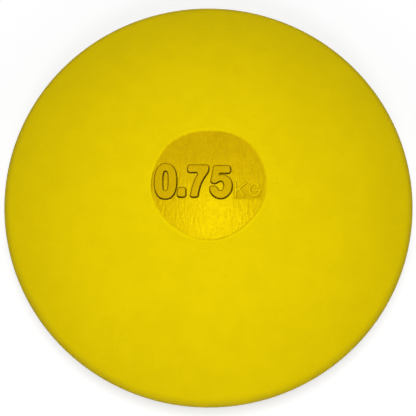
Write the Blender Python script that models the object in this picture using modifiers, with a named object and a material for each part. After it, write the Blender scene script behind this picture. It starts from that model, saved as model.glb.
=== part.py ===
"""Rubber throwing discus of the 0.75 kg class.

Two rubber halves are vulcanised together round a steel core plate. A low register centres one half in
the other, and rubber keys grip through the plate's holes. A disc of darker rubber is laid in a shallow
recess in the middle of each face.

Metres, +Z up. The discus lies flat, and the origin is the middle of its lower side.
"""

import math

import bmesh
import bpy
from mathutils import Vector

# Outline of the discus
OUTER_DIAMETER = 0.166
CENTRE_THICKNESS = 0.035  # over the two flat faces
FLAT_DIAMETER = 0.054  # of the flat middle of each face
FLANK_SLOPE = math.radians(4.3)  # fall of each face where it leaves the flat
RIM_RADIUS = 0.006  # round of the rim, as seen in a cut through the axis
PARTING_ROUND = 0.0004  # edge of each half at the mould's parting line

# Centre discs
FLAT_RING_WIDTH = 0.0044  # of the flat that is left round the recess
RECESS_LIP_ROUND = 0.0005
RECESS_DEPTH = 0.0005  # from the flat face down to the disc
CENTRE_DISC_THICKNESS = 0.0030
CENTRE_DISC_ROUND = 0.0003  # its upper edge
CENTRE_DISC_CHAMFER = 0.0005  # its lower edge

# Joint between the halves
RIM_LAND_WIDTH = 0.005  # from the rim in to the register
REGISTER_HEIGHT = 0.0015  # how far the lower half reaches into the upper one

# Steel core plate
CORE_DIAMETER = 0.081
CORE_THICKNESS = 0.005
CORE_CHAMFER = 0.0008
KEY_HOLE_DIAMETER = 0.009
KEY_HOLE_COUNTERSINK = 0.0010  # on both sides of the plate
KEY_EDGE_DISTANCE = 0.0135  # from the plate's edge to the middle of each hole in the ring
KEY_RING_COUNT = 6

# Bonded faces are drawn this far apart, so that each piece stays a solid of its own
BOND_GAP = 0.0003

# Weights
WEIGHT_CLASS = 0.75  # kg
RUBBER_DENSITY = 1200.0  # kg per cubic metre
STEEL_DENSITY = 7850.0

# How finely round shapes are divided
TURN_STEPS = 96
KEY_STEPS = 16
FLANK_STEPS = 6
RIM_STEPS = 7
ROUND_STEPS = 2

OVERSHOOT = 0.001  # how far a cutter runs past the face that it cuts
WELD_DISTANCE = 0.000001
SHARP_ANGLE = math.radians(30)
TURNED_OVER = math.pi  # about X, for the pieces of the lower side


def clear_scene():
    for obj in list(bpy.data.objects):
        bpy.data.objects.remove(obj)


def new_collection(name, shown):
    collection = bpy.data.collections.new(name)
    collection.hide_render = not shown
    bpy.context.scene.collection.children.link(collection)
    return collection


def new_material(name, colour, roughness, metallic):
    material = bpy.data.materials.new(name)
    material.diffuse_color = (*colour, 1.0)
    material.use_nodes = True
    shader = material.node_tree.nodes["Principled BSDF"]
    shader.inputs["Base Color"].default_value = (*colour, 1.0)
    shader.inputs["Roughness"].default_value = roughness
    shader.inputs["Metallic"].default_value = metallic
    return material


def arc(centre, radius, start, end, steps):
    """Points on an arc in the (radius, height) plane. Angles are from straight up, turning outwards."""
    angles = [start + (end - start) * step / steps for step in range(steps + 1)]
    return [centre + radius * Vector((math.sin(a), math.cos(a))) for a in angles]


def turned(name, profile, steps, collection):
    """A solid of revolution about Z. The profile runs from the axis at the top, down its outer side."""
    mesh = bpy.data.meshes.new(name)
    outline = bmesh.new()
    verts = [outline.verts.new((radius, 0.0, height)) for radius, height in profile]
    for first, second in zip(verts, verts[1:]):
        outline.edges.new((first, second))
    outline.to_mesh(mesh)
    outline.free()
    obj = bpy.data.objects.new(name, mesh)
    collection.objects.link(obj)
    screw = obj.modifiers.new("Turn", "SCREW")
    screw.axis = "Z"
    screw.angle = math.tau
    screw.steps = steps
    screw.render_steps = steps
    screw.use_merge_vertices = True
    screw.merge_threshold = WELD_DISTANCE
    return obj


def cut(obj, cutter):
    boolean = obj.modifiers.new("Cut " + cutter.name, "BOOLEAN")
    boolean.operation = "DIFFERENCE"
    boolean.solver = "EXACT"
    boolean.object = cutter


def mark_as_cutter(obj):
    obj.hide_render = True
    obj.display_type = "WIRE"


def settle(obj, material):
    """Applies the modifiers, gives the material, and shades the piece smooth except at its real edges."""
    evaluated = obj.evaluated_get(bpy.context.evaluated_depsgraph_get())
    outline = obj.data
    obj.data = bpy.data.meshes.new_from_object(evaluated)
    obj.data.name = obj.name
    obj.modifiers.clear()
    bpy.data.meshes.remove(outline)
    obj.data.materials.clear()
    obj.data.materials.append(material)
    obj.data.shade_smooth()
    obj.data.set_sharp_from_angle(angle=SHARP_ANGLE)


def face_outline():
    """The half's outside, from the flat's edge over the flank and rim to the parting line.

    The flank is one arc. It leaves the flat's edge at FLANK_SLOPE and runs without a break into the
    round of the rim, so its centre is its own radius from the flat's edge, and RIM_RADIUS less than
    that from the centre of the rim's round. The radius follows from these two.
    """
    flat_edge = Vector((FLAT_DIAMETER / 2, CENTRE_THICKNESS / 2))
    rim_centre = Vector((OUTER_DIAMETER / 2 - RIM_RADIUS, 0.0))
    outwards = Vector((math.sin(FLANK_SLOPE), math.cos(FLANK_SLOPE)))
    span = flat_edge - rim_centre
    flank_radius = (span.length_squared - RIM_RADIUS**2) / (2 * (span.dot(outwards) - RIM_RADIUS))
    flank_centre = flat_edge - outwards * flank_radius
    to_rim = rim_centre - flank_centre
    flank_end = math.atan2(to_rim.x, to_rim.y)

    parting_height = BOND_GAP / 2 + PARTING_ROUND
    parting_reach = math.sqrt((RIM_RADIUS - PARTING_ROUND) ** 2 - parting_height**2)
    parting_centre = rim_centre + Vector((parting_reach, parting_height))
    parting_start = math.atan2(parting_reach, parting_height)

    flank = arc(flank_centre, flank_radius, FLANK_SLOPE, flank_end, FLANK_STEPS)
    rim = arc(rim_centre, RIM_RADIUS, flank_end, parting_start, RIM_STEPS)
    parting = arc(parting_centre, PARTING_ROUND, parting_start, math.pi, ROUND_STEPS)
    return flank + rim[1:] + parting[1:]


def recess_radius():
    """Of the recess that the centre disc lies in."""
    return FLAT_DIAMETER / 2 - FLAT_RING_WIDTH - RECESS_LIP_ROUND


def half_profile(register_step, register_clearance):
    """A half, from the floor of its centre recess round to the joint with the other half.

    The joint is a flat land behind the rim. Inside it the register lies register_step higher.
    """
    recess_floor = CENTRE_THICKNESS / 2 - RECESS_DEPTH - CENTRE_DISC_THICKNESS - BOND_GAP
    lip_centre = Vector((recess_radius() + RECESS_LIP_ROUND, CENTRE_THICKNESS / 2 - RECESS_LIP_ROUND))
    lip = arc(lip_centre, RECESS_LIP_ROUND, -math.pi / 2, 0.0, ROUND_STEPS)
    floor = [Vector((0.0, recess_floor)), Vector((recess_radius(), recess_floor))]
    register_radius = OUTER_DIAMETER / 2 - RIM_LAND_WIDTH + register_clearance
    joint = [
        Vector((register_radius, BOND_GAP / 2)),
        Vector((register_radius, BOND_GAP / 2 + register_step)),
        Vector((0.0, BOND_GAP / 2 + register_step)),
    ]
    return floor + lip + face_outline() + joint


def centre_disc_profile():
    """The centre disc, with its upper face at height 0."""
    radius = recess_radius() - BOND_GAP
    round_centre = Vector((radius - CENTRE_DISC_ROUND, -CENTRE_DISC_ROUND))
    upper_edge = arc(round_centre, CENTRE_DISC_ROUND, 0.0, math.pi / 2, ROUND_STEPS)
    lower_edge = [
        Vector((radius, CENTRE_DISC_CHAMFER - CENTRE_DISC_THICKNESS)),
        Vector((radius - CENTRE_DISC_CHAMFER, -CENTRE_DISC_THICKNESS)),
    ]
    return [Vector((0.0, 0.0))] + upper_edge + lower_edge + [Vector((0.0, -CENTRE_DISC_THICKNESS))]


def mirrored_down(upper):
    """A profile whose lower half mirrors its upper half."""
    return upper + [Vector((radius, -height)) for radius, height in reversed(upper)]


def core_profile(clearance):
    """The core plate's outside, or with a clearance the pocket that it lies in."""
    radius = CORE_DIAMETER / 2 + clearance
    half_height = CORE_THICKNESS / 2 + clearance
    chamfer = CORE_CHAMFER + clearance * (2 - math.sqrt(2))  # keeps the clearance square to the chamfer
    return mirrored_down(
        [
            Vector((0.0, half_height)),
            Vector((radius - chamfer, half_height)),
            Vector((radius, half_height - chamfer)),
        ]
    )


def key_profile(clearance):
    """A countersunk hole through the plate, or with a clearance the rubber key that fills it."""
    radius = KEY_HOLE_DIAMETER / 2 - clearance
    # The last term keeps the clearance square to the countersink
    waist = CORE_THICKNESS / 2 - KEY_HOLE_COUNTERSINK + clearance * (math.sqrt(2) - 1)
    end = CORE_THICKNESS / 2 + OVERSHOOT
    return mirrored_down(
        [
            Vector((0.0, end)),
            Vector((radius + end - waist, end)),
            Vector((radius, waist)),
        ]
    )


def key_places():
    """The middle of the plate and a ring round it."""
    ring_radius = CORE_DIAMETER / 2 - KEY_EDGE_DISTANCE
    turns = [math.tau * index / KEY_RING_COUNT for index in range(KEY_RING_COUNT)]
    ring = [ring_radius * Vector((math.cos(turn), math.sin(turn), 0.0)) for turn in turns]
    return [Vector((0.0, 0.0, 0.0))] + ring


def cut_keys(obj, name, clearance, collection):
    """Takes the keys' shape, at each of their places, out of a piece that is centred on the mid-plane."""
    for index, place in enumerate(key_places()):
        cutter = turned(f"{name}_{index}", key_profile(clearance), KEY_STEPS, collection)
        cutter.location = obj.location + place
        mark_as_cutter(cutter)
        cut(obj, cutter)


def make_core_plate(centre, material, pieces, cutters):
    plate = turned("steel_core_plate", core_profile(0.0), TURN_STEPS, pieces)
    plate.location = centre
    cut_keys(plate, "key_hole_cutter", 0.0, cutters)
    settle(plate, material)
    return plate


def make_core_pocket(centre, cutters):
    """What the halves leave free for the plate. It has the keys' shape taken out, so they stay rubber."""
    pocket = turned("core_pocket_cutter", core_profile(BOND_GAP), TURN_STEPS, cutters)
    pocket.location = centre
    mark_as_cutter(pocket)
    cut_keys(pocket, "rubber_key_cutter", BOND_GAP, cutters)
    return pocket


def make_half(name, profile, turn, pocket, material, pieces):
    half = turned(name, profile, TURN_STEPS, pieces)
    half.location = pocket.location
    half.rotation_euler.x = turn
    cut(half, pocket)
    settle(half, material)
    return half


def make_centre_discs(centre, material, pieces):
    """Both discs, which are the same mesh, one of them turned over."""
    from_centre = Vector((0.0, 0.0, CENTRE_THICKNESS / 2 - RECESS_DEPTH))
    upper = turned("upper_centre_disc", centre_disc_profile(), TURN_STEPS, pieces)
    upper.location = centre + from_centre
    settle(upper, material)
    lower = bpy.data.objects.new("lower_centre_disc", upper.data)
    lower.location = centre - from_centre
    lower.rotation_euler.x = TURNED_OVER
    pieces.objects.link(lower)
    return [upper, lower]


def hold(pieces, centre, collection):
    """Parents the pieces to an empty in the middle of the discus, and keeps them where they are."""
    middle = bpy.data.objects.new("discus_middle", None)
    middle.location = centre
    middle.empty_display_size = OUTER_DIAMETER / 2
    collection.objects.link(middle)
    for piece in pieces:
        piece.parent = middle
        piece.location -= centre


def volume_of(obj):
    solid = bmesh.new()
    solid.from_mesh(obj.data)
    volume = solid.calc_volume()
    solid.free()
    return volume


def main():
    clear_scene()
    pieces = new_collection("Rubber discus", True)
    cutters = new_collection("Discus cutters", False)
    body_rubber = new_material("Yellow body rubber", (0.745, 0.565, 0.002), 0.62, 0.0)
    disc_rubber = new_material("Ochre disc rubber", (0.600, 0.410, 0.002), 0.42, 0.0)
    steel = new_material("Core steel", (0.420, 0.430, 0.440), 0.45, 1.0)

    centre = Vector((0.0, 0.0, CENTRE_THICKNESS / 2))
    pocket = make_core_pocket(centre, cutters)
    upper_profile = half_profile(REGISTER_HEIGHT, BOND_GAP)
    lower_profile = half_profile(-REGISTER_HEIGHT, 0.0)
    upper = make_half("upper_rubber_half", upper_profile, 0.0, pocket, body_rubber, pieces)
    lower = make_half("lower_rubber_half", lower_profile, TURNED_OVER, pocket, body_rubber, pieces)
    discs = make_centre_discs(centre, disc_rubber, pieces)
    plate = make_core_plate(centre, steel, pieces, cutters)
    hold([upper, lower, plate] + discs, centre, pieces)

    rubber_volume = sum(volume_of(piece) for piece in [upper, lower] + discs)
    weight = rubber_volume * RUBBER_DENSITY + volume_of(plate) * STEEL_DENSITY
    print(f"Weight {weight:.3f} kg, for a class of {WEIGHT_CLASS} kg")


main()
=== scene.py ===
"""Looks of a rubber throwing discus of the 0.75 kg class, built round its packed model.

Geometry Nodes turn each rubber half from an outline, with a ragged trimmed flash at the rim and
the keys that grip through the core plate. The halves' rubber has dirt and painted shade along the
parting line. The centre discs carry raised numerals with dirt and painted shade in their creases,
and small letters with a painted highlight on their strokes and a painted shadow below them. The
file is laid out as an add-on and run as a script. Metres, +Z up, in the packed model's own frame.
"""

import math

import bmesh
import bpy
import numpy as np
from bpy.props import FloatProperty, FloatVectorProperty, IntProperty, PointerProperty
from mathutils import Matrix, Vector, noise
from mathutils.geometry import delaunay_2d_cdt


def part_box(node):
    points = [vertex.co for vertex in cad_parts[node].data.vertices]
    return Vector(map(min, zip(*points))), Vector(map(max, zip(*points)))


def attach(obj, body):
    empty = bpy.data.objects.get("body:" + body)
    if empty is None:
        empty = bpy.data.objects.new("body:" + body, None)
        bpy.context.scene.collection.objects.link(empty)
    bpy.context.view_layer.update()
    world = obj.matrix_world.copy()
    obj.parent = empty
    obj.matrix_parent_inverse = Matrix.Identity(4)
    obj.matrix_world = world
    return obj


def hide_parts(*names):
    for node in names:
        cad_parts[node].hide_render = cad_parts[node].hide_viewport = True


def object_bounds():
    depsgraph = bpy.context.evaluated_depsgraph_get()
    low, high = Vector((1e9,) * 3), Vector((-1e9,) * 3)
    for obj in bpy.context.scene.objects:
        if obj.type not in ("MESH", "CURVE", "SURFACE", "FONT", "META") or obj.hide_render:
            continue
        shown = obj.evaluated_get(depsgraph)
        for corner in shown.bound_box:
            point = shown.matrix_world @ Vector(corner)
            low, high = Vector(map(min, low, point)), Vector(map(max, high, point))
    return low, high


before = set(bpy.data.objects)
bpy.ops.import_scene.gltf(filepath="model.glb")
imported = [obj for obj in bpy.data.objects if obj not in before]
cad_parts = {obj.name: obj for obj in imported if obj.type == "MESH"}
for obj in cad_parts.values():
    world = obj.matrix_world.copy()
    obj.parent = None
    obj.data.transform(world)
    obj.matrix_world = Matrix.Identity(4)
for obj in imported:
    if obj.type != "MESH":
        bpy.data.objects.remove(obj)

bl_info = {
    "name": "Rubber Discus",
    "version": (1, 0, 0),
    "blender": (4, 5, 0),
    "location": "View3D > Sidebar > Discus",
    "description": "Builds a rubber throwing discus piece by piece, and the studio it is shown in",
    "category": "Object",
}

CAD_LOW, CAD_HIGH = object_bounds()
DISC_LOW, DISC_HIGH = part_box("upper_centre_disc")
PLATE_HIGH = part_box("steel_core_plate")[1]
MIDDLE_HEIGHT = (CAD_LOW.z + CAD_HIGH.z) / 2

MM = 0.001
BOND_GAP = 0.0003  # between bonded pieces, as in the packed model
SHARP_ANGLE = math.radians(32)
TURNED_OVER = math.pi  # about X, for the pieces of the lower side

# Where the ochre of a centre disc ends, in mm: a mean radius, and waves as (count, reach, turn)
FLOW_RADIUS = 21.57
FLOW_WAVES = (
    (1, 0.323, 0.83), (2, 0.272, 0.48), (3, 0.247, 1.69), (4, 0.072, 0.92), (5, 0.217, -1.31)
)


# ---------------------------------------------------------------- what a user may change


class DiscusBody(bpy.types.PropertyGroup):
    """Shape of the two rubber halves."""

    outer_diameter: FloatProperty(
        name="Outer diameter", description="Over the rim", default=2 * CAD_HIGH.x, unit="LENGTH"
    )
    thickness: FloatProperty(
        name="Thickness", description="Over the two flat faces",
        default=CAD_HIGH.z - CAD_LOW.z, unit="LENGTH",
    )
    flat_diameter: FloatProperty(
        name="Flat diameter", description="Of the flat middle of each face",
        default=0.054, unit="LENGTH",
    )
    flank_slope: FloatProperty(
        name="Flank slope", description="Fall of each face where it leaves the flat",
        default=math.radians(4.3), unit="ROTATION",
    )
    rim_radius: FloatProperty(
        name="Rim radius", description="Round of the rim in a cut through the axis",
        default=0.006, unit="LENGTH",
    )
    recess_radius: FloatProperty(
        name="Recess radius", description="Of the recess that a centre disc lies in",
        default=DISC_HIGH.x + BOND_GAP, unit="LENGTH",
    )
    lip_round: FloatProperty(
        name="Lip round", description="Round of the recess's edge", default=0.0005, unit="LENGTH"
    )
    flash_reach: FloatProperty(
        name="Flash reach", description="How far the trimmed flash stands out of its groove",
        default=0.00018, unit="LENGTH",
    )
    flash_thickness: FloatProperty(
        name="Flash thickness", description="On each side of the parting line",
        default=0.00022, unit="LENGTH",
    )
    unevenness: FloatProperty(
        name="Unevenness", description="How deep the moulded skin sinks in places",
        default=0.00014, unit="LENGTH",
    )
    unevenness_size: FloatProperty(
        name="Unevenness size", description="Breadth of the sinks in the skin",
        default=0.022, unit="LENGTH",
    )
    turn_steps: IntProperty(
        name="Turn steps", description="Faces round the rim", default=360, min=24, max=720
    )


class DiscusMarkings(bpy.types.PropertyGroup):
    """Raised numerals and letters of the centre discs."""

    relief: FloatProperty(
        name="Relief", description="Height of the numerals over the disc",
        default=0.00016, unit="LENGTH",
    )
    crease_depth: FloatProperty(
        name="Crease depth", description="Depth of the groove round each numeral",
        default=0.00012, unit="LENGTH",
    )
    crease_narrow: FloatProperty(
        name="Narrow crease", description="Width of the groove above a numeral",
        default=0.00022, unit="LENGTH",
    )
    crease_wide: FloatProperty(
        name="Wide crease", description="Width of the groove below a numeral",
        default=0.00047, unit="LENGTH",
    )
    letter_relief: FloatProperty(
        name="Letter relief", description="Height of the small letters over their plate",
        default=0.00012, unit="LENGTH",
    )
    plate_relief: FloatProperty(
        name="Plate relief", description="Height of the small letters' plate",
        default=0.00003, unit="LENGTH",
    )
    skin_relief: FloatProperty(
        name="Skin relief", description="Unevenness of the discs' skin",
        default=0.000004, unit="LENGTH",
    )


class DiscusFinish(bpy.types.PropertyGroup):
    """Colours of the rubber, the dirt and painted shade, and the steel."""

    body: FloatVectorProperty(
        name="Body", description="Yellow rubber of the halves",
        default=(0.765, 0.580, 0.001), subtype="COLOR", min=0, max=1,
    )
    body_deep: FloatVectorProperty(
        name="Body, deep", description="Clouds in the yellow rubber",
        default=(0.725, 0.548, 0.001), subtype="COLOR", min=0, max=1,
    )
    disc: FloatVectorProperty(
        name="Disc", description="Ochre rubber of the centre discs",
        default=(0.570, 0.362, 0.001), subtype="COLOR", min=0, max=1,
    )
    disc_deep: FloatVectorProperty(
        name="Disc, deep", description="Grain in the ochre rubber",
        default=(0.488, 0.300, 0.001), subtype="COLOR", min=0, max=1,
    )
    # Colour of the dirt and painted shade in the creases and the parting groove
    dirt_and_shade: FloatVectorProperty(
        name="Dirt", description="Dirt in the creases",
        default=(0.030, 0.014, 0.002), subtype="COLOR", min=0, max=1,
    )
    steel: FloatVectorProperty(
        name="Steel", description="Core plate",
        default=(0.42, 0.43, 0.44), subtype="COLOR", min=0, max=1,
    )
    body_roughness: FloatProperty(
        name="Body roughness", description="Of the yellow rubber",
        default=0.64, min=0, max=1, subtype="FACTOR",
    )
    disc_roughness: FloatProperty(
        name="Disc roughness", description="Of the ochre rubber",
        default=0.22, min=0, max=1, subtype="FACTOR",
    )


class DiscusStudio(bpy.types.PropertyGroup):
    """Camera and lamps."""

    camera_distance: FloatProperty(
        name="Camera distance", description="From the middle of the discus",
        default=0.230, unit="LENGTH",
    )
    camera_tilt: FloatProperty(
        name="Camera tilt", description="Of the line of sight from straight down",
        default=math.radians(13.31), unit="ROTATION",
    )
    camera_aim: FloatVectorProperty(
        name="Camera aim", description="Point looked at",
        default=(-0.00016, -0.00575, MIDDLE_HEIGHT), unit="LENGTH",
    )
    lens: FloatProperty(
        name="Lens", description="Focal length in millimetres on a 36 mm sensor",
        default=48.62, min=1,
    )
    key_power: FloatProperty(
        name="Key lamp", description="Watts of the lamp above the discus", default=0.635, min=0
    )
    front_power: FloatProperty(
        name="Front lamp", description="Watts of the lamp before the discus", default=0.48, min=0
    )
    gloss_power: FloatProperty(
        name="Gloss lamp", description="Watts of the lamp that the satin discs mirror",
        default=0.54, min=0,
    )
    ambient: FloatProperty(
        name="Ambient", description="Light from all round", default=0.160, min=0, max=1
    )


# ---------------------------------------------------------------- helpers for node trees


class Sketch:
    """Adds nodes to a tree, and sets or links their inputs."""

    def __init__(self, tree):
        self.tree = tree

    def plug(self, socket, value):
        if isinstance(value, bpy.types.Node):
            value = next(output for output in value.outputs if output.enabled)
        if isinstance(value, bpy.types.NodeSocket):
            self.tree.links.new(value, socket)
        else:
            socket.default_value = value

    def add(self, kind, inputs=None, **settings):
        node = self.tree.nodes.new(kind)
        for name, value in settings.items():
            setattr(node, name, value)
        for name, value in (inputs or {}).items():
            self.plug(node.inputs[name], value)
        return node

    def fill(self, node, values):
        """Gives the node's open inputs these values, in their order."""
        for socket, value in zip([socket for socket in node.inputs if socket.enabled], values):
            self.plug(socket, value)
        return node

    def math(self, operation, *values, clamp=False):
        return self.fill(self.add("ShaderNodeMath", operation=operation, use_clamp=clamp), values)

    def minus(self, first, second):
        return self.math("SUBTRACT", first, second)

    def plus(self, first, second):
        return self.math("ADD", first, second)

    def times(self, first, *others):
        for other in others:
            first = self.math("MULTIPLY", first, other)
        return first

    def total(self, *parts):
        """The sum of parts given as (value, weight)."""
        result, *others = [self.times(value, weight) for value, weight in parts]
        for other in others:
            result = self.plus(result, other)
        return result

    def vector(self, operation, *values):
        return self.fill(self.add("ShaderNodeVectorMath", operation=operation), values)

    def level(self, place):
        """The place without its height."""
        return self.vector("MULTIPLY", place, (1.0, 1.0, 0.0))

    def noise(self, place, size, detail=2.0, roughness=0.5):
        """Noise whose features are about as broad as size, in metres."""
        inputs = {"Vector": place, "Scale": 1 / size, "Detail": detail, "Roughness": roughness}
        return self.add("ShaderNodeTexNoise", inputs)

    def ramp(self, value, low, high, out_low=0.0, out_high=1.0):
        """A smooth step from out_low, at low, to out_high, at high."""
        node = self.add("ShaderNodeMapRange", interpolation_type="SMOOTHSTEP")
        return self.fill(node, (value, low, high, out_low, out_high))

    def mix(self, factor, first, second):
        return self.fill(self.add("ShaderNodeMix", data_type="RGBA"), (factor, first, second))

    def attribute(self, name):
        return self.add("ShaderNodeAttribute", attribute_name=name).outputs["Fac"]

    def stored(self, name):
        return self.add("GeometryNodeInputNamedAttribute", {"Name": name}, data_type="FLOAT")

    def bumps(self, *layers):
        """Relief in layers, each as its height, how far that stands out, and its strength."""
        under = {}
        for height, distance, strength in layers:
            inputs = {"Height": height, "Distance": distance, "Strength": strength, **under}
            node = self.add("ShaderNodeBump", inputs)
            under = {"Normal": node}
        return node

    def lay_out(self):
        """Puts the nodes in columns, each left of the nodes that it feeds."""
        columns = {}
        for _ in self.tree.nodes:
            for link in self.tree.links:
                after = columns.get(link.to_node, 0) + 1
                columns[link.from_node] = max(columns.get(link.from_node, 0), after)
        rows = {}
        for node in self.tree.nodes:
            column = columns.get(node, 0)
            rows[column] = rows.get(column, 0) + 1
            node.location = (-230 * column, -210 * rows[column])


def opaque(colour, share=1.0):
    """The colour, or a darker share of it, with an alpha of 1."""
    return (*(share * part for part in colour), 1.0)


def new_geometry_group(name, **inputs):
    """A Geometry Nodes group with a geometry input and these inputs, listed by their kind.

    Returns its sketch and its inputs.
    """
    group = bpy.data.node_groups.new(name, "GeometryNodeTree")
    for in_out in ("OUTPUT", "INPUT"):
        group.interface.new_socket("Geometry", in_out=in_out, socket_type="NodeSocketGeometry")
    for kind, labels in inputs.items():
        for label in labels:
            group.interface.new_socket(label, in_out="INPUT", socket_type="NodeSocket" + kind)
    sketch = Sketch(group)
    return sketch, sketch.add("NodeGroupInput").outputs


def set_inputs(modifier, values):
    """Sets a Geometry Nodes modifier's inputs, given by their names, through their identifiers."""
    for item in modifier.node_group.interface.items_tree:
        if item.in_out == "INPUT" and item.name in values:
            modifier[item.identifier] = values[item.name]


# ---------------------------------------------------------------- helpers for objects


def new_object(name, data):
    obj = bpy.data.objects.new(name, data)
    bpy.context.scene.collection.objects.link(obj)
    return obj


def settle(obj):
    """Puts what the modifiers make in place of the object's mesh."""
    depsgraph = bpy.context.evaluated_depsgraph_get()
    source = obj.data
    obj.data = bpy.data.meshes.new_from_object(
        obj.evaluated_get(depsgraph), preserve_all_data_layers=True, depsgraph=depsgraph
    )
    obj.modifiers.clear()
    obj.data.name = obj.name
    bpy.data.meshes.remove(source)


def finish_piece(obj, node):
    """Shades the piece, stops if it is open or inside out, and gives it its CAD node's place."""
    obj.data.shade_smooth()
    obj.data.set_sharp_from_angle(angle=SHARP_ANGLE)
    solid = bmesh.new()
    solid.from_mesh(obj.data)
    open_edges = sum(1 for edge in solid.edges if not edge.is_manifold)
    volume = solid.calc_volume(signed=True)
    solid.free()
    faces = len(obj.data.polygons)
    print(f"{obj.name}: {faces} faces, {volume * 1e6:.1f} cm3, {open_edges} open edges")
    if open_edges or volume <= 0:
        raise RuntimeError(f"{obj.name} isn't a closed solid that faces out")
    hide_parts(node)
    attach(obj, "root")


# ---------------------------------------------------------------- materials

WORN_FROM, WORN_TO = 0.0775, 0.0832  # from the axis: where the rim's wear starts, and is full
GROOVE_FROM, GROOVE_TO = 0.0815, 0.0822  # from the axis: where the rim's groove begins
GROOVE_DIRT_AND_SHADE = (0.00025, 0.00045)  # from the parting line: how far its dirt and painted shade reach, and fade
FLOW_SOFTNESS = 0.0006  # on each side of the line where the ochre ends
FLOW_RAGGEDNESS = 0.0009  # how far that line strays by its noise
WORN_YELLOW = (0.50, 0.375, 0.012)
RUST = (0.22, 0.095, 0.040)


def new_material(name, colour):
    """A new material, its sketch, and the place on the object."""
    material = bpy.data.materials.new(name)
    material.diffuse_color = opaque(colour)
    material.use_nodes = True
    sketch = Sketch(material.node_tree)
    return material, sketch, sketch.add("ShaderNodeTexCoord").outputs["Object"]


def dressed(material, sketch, inputs):
    """The material, once its shader has these inputs."""
    shader = material.node_tree.nodes["Principled BSDF"]
    for name, value in inputs.items():
        sketch.plug(shader.inputs[name], value)
    sketch.lay_out()
    return material


def yellow_share(sketch, place):
    """0 on the ochre of a centre disc, and 1 past the wavy line where that ends on its side."""
    x, y, z = sketch.add("ShaderNodeSeparateXYZ", {"Vector": place}).outputs
    side = sketch.math("SIGN", sketch.minus(z, MIDDLE_HEIGHT))
    angle = sketch.math("ARCTAN2", sketch.times(y, side), x)
    line = FLOW_RADIUS * MM
    for count, reach, turn in FLOW_WAVES:
        wave = sketch.math("COSINE", sketch.minus(sketch.times(angle, count), turn))
        line = sketch.plus(line, sketch.times(wave, reach * MM))
    ragged = sketch.minus(sketch.noise(place, size=0.0016, detail=3.0), 0.5)
    radius = sketch.vector("LENGTH", sketch.level(place))
    past = sketch.minus(sketch.plus(radius, sketch.times(ragged, FLOW_RAGGEDNESS)), line)
    return sketch.ramp(past, -FLOW_SOFTNESS, FLOW_SOFTNESS)


def yellow_rubber(finish):
    """Matte moulded rubber: clouds, mottling, a few pits, a worn rim, and dirt and painted shade
    along the parting line.
    """
    material, sketch, place = new_material("Yellow body rubber, moulded", finish.body)
    clouds = sketch.noise(place, size=0.026, detail=3.0)
    patches = sketch.noise(place, size=0.007, detail=3.0)
    mottle = sketch.noise(place, size=0.0022, detail=3.0, roughness=0.6)
    grain = sketch.noise(place, size=0.0006)
    shades = sketch.total((clouds, 0.5), (patches, 0.5), (sketch.minus(mottle, 0.5), 0.30))
    light = sketch.ramp(shades, 0.32, 0.68)
    colour = sketch.mix(light, opaque(finish.body_deep), opaque(finish.body))

    pits = sketch.add("ShaderNodeTexVoronoi", {"Vector": place, "Scale": 160.0})
    few = sketch.math("GREATER_THAN", sketch.noise(place, size=0.012), 0.56)
    pit = sketch.times(sketch.ramp(pits.outputs["Distance"], 0.10, 0.04), few)
    colour = sketch.mix(sketch.times(pit, 0.14), colour, opaque(finish.body_deep, 0.55))

    radius = sketch.vector("LENGTH", sketch.level(place))
    rim = sketch.ramp(radius, WORN_FROM, WORN_TO)
    worn = sketch.times(rim, sketch.ramp(patches, 0.38, 0.62), 0.30)
    colour = sketch.mix(worn, colour, opaque(WORN_YELLOW))
    colour = sketch.mix(yellow_share(sketch, place), opaque(finish.disc), colour)

    # Dirt and painted shade in the groove along the parting line, in patches
    height = sketch.add("ShaderNodeSeparateXYZ", {"Vector": place}).outputs["Z"]
    off_parting = sketch.math("ABSOLUTE", sketch.minus(height, MIDDLE_HEIGHT))
    in_groove = sketch.ramp(off_parting, *GROOVE_DIRT_AND_SHADE, 1.0, 0.0)
    at_rim = sketch.ramp(radius, GROOVE_FROM, GROOVE_TO)
    dirt_and_shade = sketch.times(in_groove, at_rim, sketch.ramp(patches, 0.35, 0.65, 0.12, 0.42))
    colour = sketch.mix(dirt_and_shade, colour, opaque(finish.dirt_and_shade))

    dull, duller = finish.body_roughness - 0.06, finish.body_roughness + 0.08
    relief = sketch.bumps(
        (grain, 0.00004, 0.5),
        (mottle, 0.00008, 0.5),
        (patches, 0.00020, 0.35),
        (sketch.times(pit, -1.0), 0.00008, 0.6),
    )
    return dressed(material, sketch, {
        "Base Color": colour,
        "Roughness": sketch.ramp(mottle, 0.3, 0.7, dull, duller),
        "Normal": relief,
        "Specular IOR Level": 0.15,
        "Specular Tint": (1.0, 0.80, 0.0, 1.0),
    })


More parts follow.
